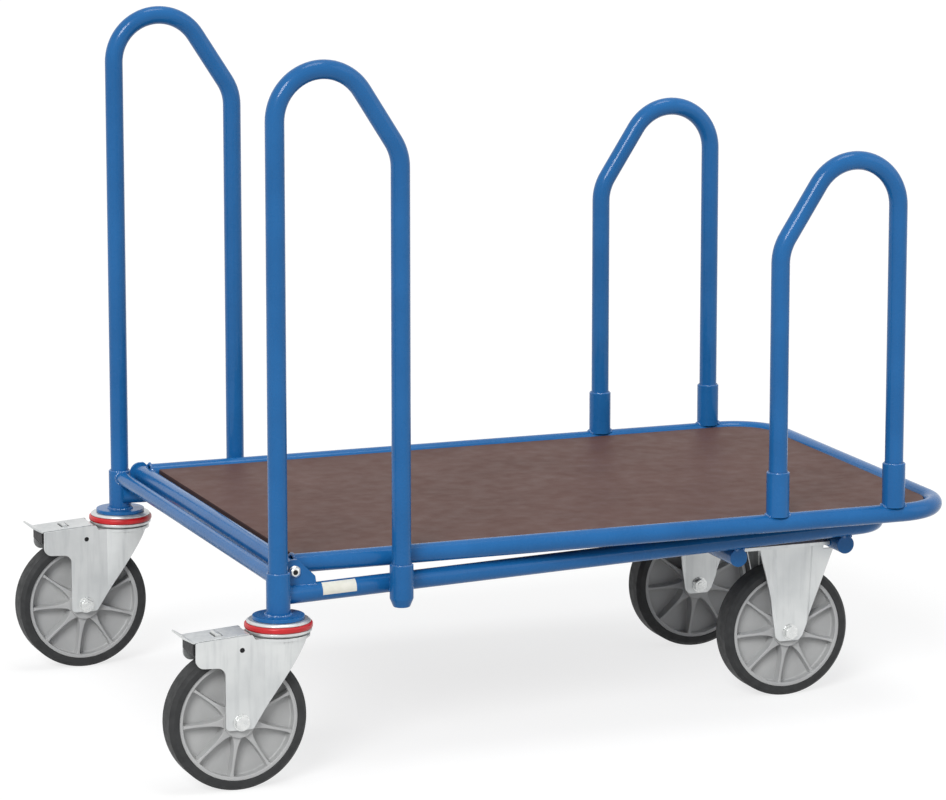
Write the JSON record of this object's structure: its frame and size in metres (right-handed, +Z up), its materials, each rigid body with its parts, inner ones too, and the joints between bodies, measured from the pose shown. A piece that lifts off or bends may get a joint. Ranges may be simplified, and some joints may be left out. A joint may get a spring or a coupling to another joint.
{
  "type": "nesting platform trolley",
  "caption": "Flat-deck nesting trolley: tapered tube chassis, braked swivel and fixed casters, a deck that lifts on a rear hinge, and tall and short side hoops.",
  "frame": {"origin": "on the floor, under the centre of the bounding box", "axes": "+X to the front end with the fixed casters, +Y to the left side, +Z up"},
  "size_m": [1.2348, 0.8504, 1.0062],
  "materials": {
    "blue_paint": "gloss powder coat on steel tube",
    "zinc_plate": "bright zinc plate on pressed steel",
    "bolt_steel": "zinc plated bolt",
    "tyre_rubber": "matt dark grey elastic rubber",
    "rim_plastic": "light grey moulded nylon",
    "red_plastic": "red moulded plastic",
    "bush_plastic": "grey moulded plastic",
    "black_rubber": "matt black rubber",
    "deck_plywood": "brown film-faced plywood"
  },
  "bodies": {
    "chassis": {"chassis_frame": "blue_paint", "rear_crossbar": "blue_paint", "post_right": "blue_paint", "post_left": "blue_paint", "hinge_gusset_right": "blue_paint", "hinge_gusset_left": "blue_paint", "hoop_socket_right": "blue_paint", "hoop_socket_left": "blue_paint", "rear_hoop_right": "blue_paint", "rear_hoop_left": "blue_paint", "cross_tube_rear": "blue_paint", "cross_tube_front": "blue_paint", "hinge_bolt_right": "bolt_steel", "hinge_bolt_left": "bolt_steel", "rest_pad_right": "black_rubber", "rest_pad_left": "black_rubber", "fixed_fork_right": "zinc_plate", "fixed_fork_left": "zinc_plate", "axle_front_right": "bolt_steel", "axle_front_left": "bolt_steel", "swivel_top_cup_right": "zinc_plate", "swivel_top_cup_left": "zinc_plate", "kingpin_right": "bolt_steel", "kingpin_left": "bolt_steel"},
    "platform": {"platform_frame": "blue_paint", "platform_hinge_tube": "blue_paint", "deck_board": "deck_plywood", "deck_support_front": "blue_paint", "deck_support_middle": "blue_paint", "deck_support_rear": "blue_paint", "hoop_sleeve_front_right": "blue_paint", "hoop_sleeve_rear_right": "blue_paint", "hoop_sleeve_front_left": "blue_paint", "hoop_sleeve_rear_left": "blue_paint", "front_hoop_right": "blue_paint", "front_hoop_left": "blue_paint"},
    "swivel_right": {"swivel_fork_right": "zinc_plate", "swivel_race_right": "zinc_plate", "dust_ring_right": "red_plastic", "axle_rear_right": "bolt_steel"},
    "swivel_left": {"swivel_fork_left": "zinc_plate", "swivel_race_left": "zinc_plate", "dust_ring_left": "red_plastic", "axle_rear_left": "bolt_steel"},
    "pedal_right": {"brake_pedal_right": "zinc_plate", "brake_block_right": "black_rubber"},
    "pedal_left": {"brake_pedal_left": "zinc_plate", "brake_block_left": "black_rubber"},
    "rear_wheel_right": {"rim_rear_right": "rim_plastic", "tyre_rear_right": "tyre_rubber", "hub_bush_rear_right": "bush_plastic"},
    "rear_wheel_left": {"rim_rear_left": "rim_plastic", "tyre_rear_left": "tyre_rubber", "hub_bush_rear_left": "bush_plastic"},
    "front_wheel_right": {"rim_front_right": "rim_plastic", "tyre_front_right": "tyre_rubber", "hub_bush_front_right": "bush_plastic"},
    "front_wheel_left": {"rim_front_left": "rim_plastic", "tyre_front_left": "tyre_rubber", "hub_bush_front_left": "bush_plastic"}
  },
  "joints": [
    {"name": "platform_lift", "type": "hinge", "parent": "chassis", "child": "platform", "pos_m": [-0.42424, 0, 0.29502], "axis": [0, -1, 0], "range_deg": [0, 70]},
    {"name": "swivel_right_turn", "type": "hinge", "parent": "chassis", "child": "swivel_right", "pos_m": [-0.45274, -0.3775, 0.21522], "axis": [0, 0, 1], "continuous": true},
    {"name": "swivel_left_turn", "type": "hinge", "parent": "chassis", "child": "swivel_left", "pos_m": [-0.45274, 0.3775, 0.21522], "axis": [0, 0, 1], "continuous": true},
    {"name": "pedal_right_press", "type": "hinge", "parent": "swivel_right", "child": "pedal_right", "pos_m": [-0.51574, -0.3775, 0.20172], "axis": [0, -1, 0], "range_deg": [0, 9]},
    {"name": "pedal_left_press", "type": "hinge", "parent": "swivel_left", "child": "pedal_left", "pos_m": [-0.51574, 0.3775, 0.20172], "axis": [0, -1, 0], "range_deg": [0, 9]},
    {"name": "rear_wheel_right_spin", "type": "hinge", "parent": "swivel_right", "child": "rear_wheel_right", "pos_m": [-0.51774, -0.3775, 0.09962], "axis": [0, 1, 0], "continuous": true},
    {"name": "rear_wheel_left_spin", "type": "hinge", "parent": "swivel_left", "child": "rear_wheel_left", "pos_m": [-0.51774, 0.3775, 0.09962], "axis": [0, 1, 0], "continuous": true},
    {"name": "front_wheel_right_spin", "type": "hinge", "parent": "chassis", "child": "front_wheel_right", "pos_m": [0.40926, -0.167, 0.09962], "axis": [0, 1, 0], "continuous": true},
    {"name": "front_wheel_left_spin", "type": "hinge", "parent": "chassis", "child": "front_wheel_left", "pos_m": [0.40926, 0.167, 0.09962], "axis": [0, 1, 0], "continuous": true}
  ]
}
